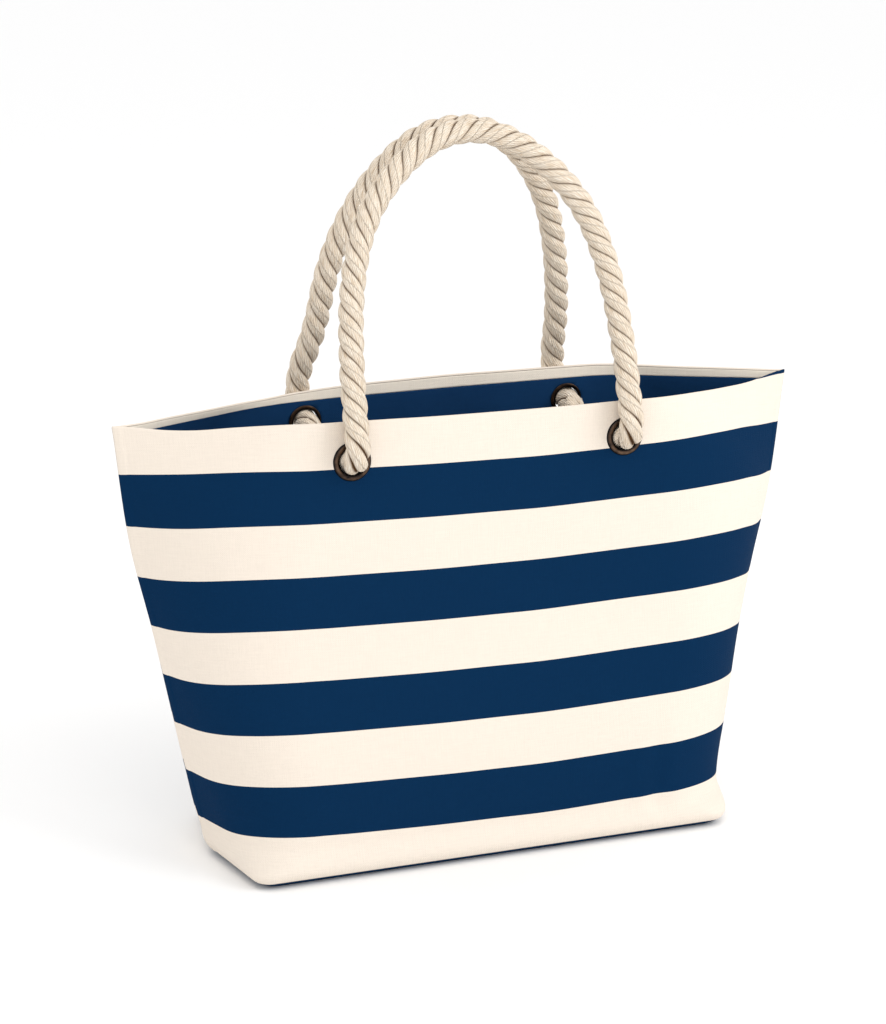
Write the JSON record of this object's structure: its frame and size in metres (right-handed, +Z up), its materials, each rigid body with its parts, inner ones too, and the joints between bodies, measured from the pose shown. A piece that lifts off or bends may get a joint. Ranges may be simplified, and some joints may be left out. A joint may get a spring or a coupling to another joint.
{
  "type": "beach bag",
  "caption": "Large open canvas beach bag with horizontal stripes, a boxed flat base, metal eyelets and knotted rope handles that swing out and down.",
  "frame": {"origin": "middle of the flat base, on the surface that the bag stands on", "axes": "+X along the width to the bag's right seen from in front, -Y to the front wall, +Z up"},
  "size_m": [0.574, 0.181, 0.5875],
  "materials": {
    "striped_canvas": "heavy cotton canvas, plain weave, printed with wide navy and natural cream stripes, matt",
    "base_canvas": "heavy cotton canvas, plain weave, navy, matt",
    "lining": "navy cotton lining, matt",
    "facing": "natural cream canvas, matt",
    "rope": "natural cotton rope, three strands, soft and matt",
    "eyelet_metal": "antique dark bronze plating, satin"
  },
  "bodies": {
    "bag": {"base_panel": "base_canvas", "base_lining": "lining", "front_panel": "striped_canvas", "front_lining": "lining", "front_facing": "facing", "front_left_eyelet": "eyelet_metal", "front_left_washer": "eyelet_metal", "front_left_rope_neck": "rope", "front_left_knot": "rope", "front_right_eyelet": "eyelet_metal", "front_right_washer": "eyelet_metal", "front_right_rope_neck": "rope", "front_right_knot": "rope", "back_panel": "striped_canvas", "back_lining": "lining", "back_facing": "facing", "back_left_eyelet": "eyelet_metal", "back_left_washer": "eyelet_metal", "back_left_rope_neck": "rope", "back_left_knot": "rope", "back_right_eyelet": "eyelet_metal", "back_right_washer": "eyelet_metal", "back_right_rope_neck": "rope", "back_right_knot": "rope"},
    "front_handle": {"front_handle": "rope"},
    "back_handle": {"back_handle": "rope"}
  },
  "joints": [
    {"name": "front_handle_swing", "type": "hinge", "parent": "bag", "child": "front_handle", "pos_m": [0, -0.08061, 0.33657], "axis": [1, 0, 0], "range_deg": [0, 175]},
    {"name": "back_handle_swing", "type": "hinge", "parent": "bag", "child": "back_handle", "pos_m": [0, 0.08041, 0.34007], "axis": [-1, 0, 0], "range_deg": [0, 175]}
  ]
}
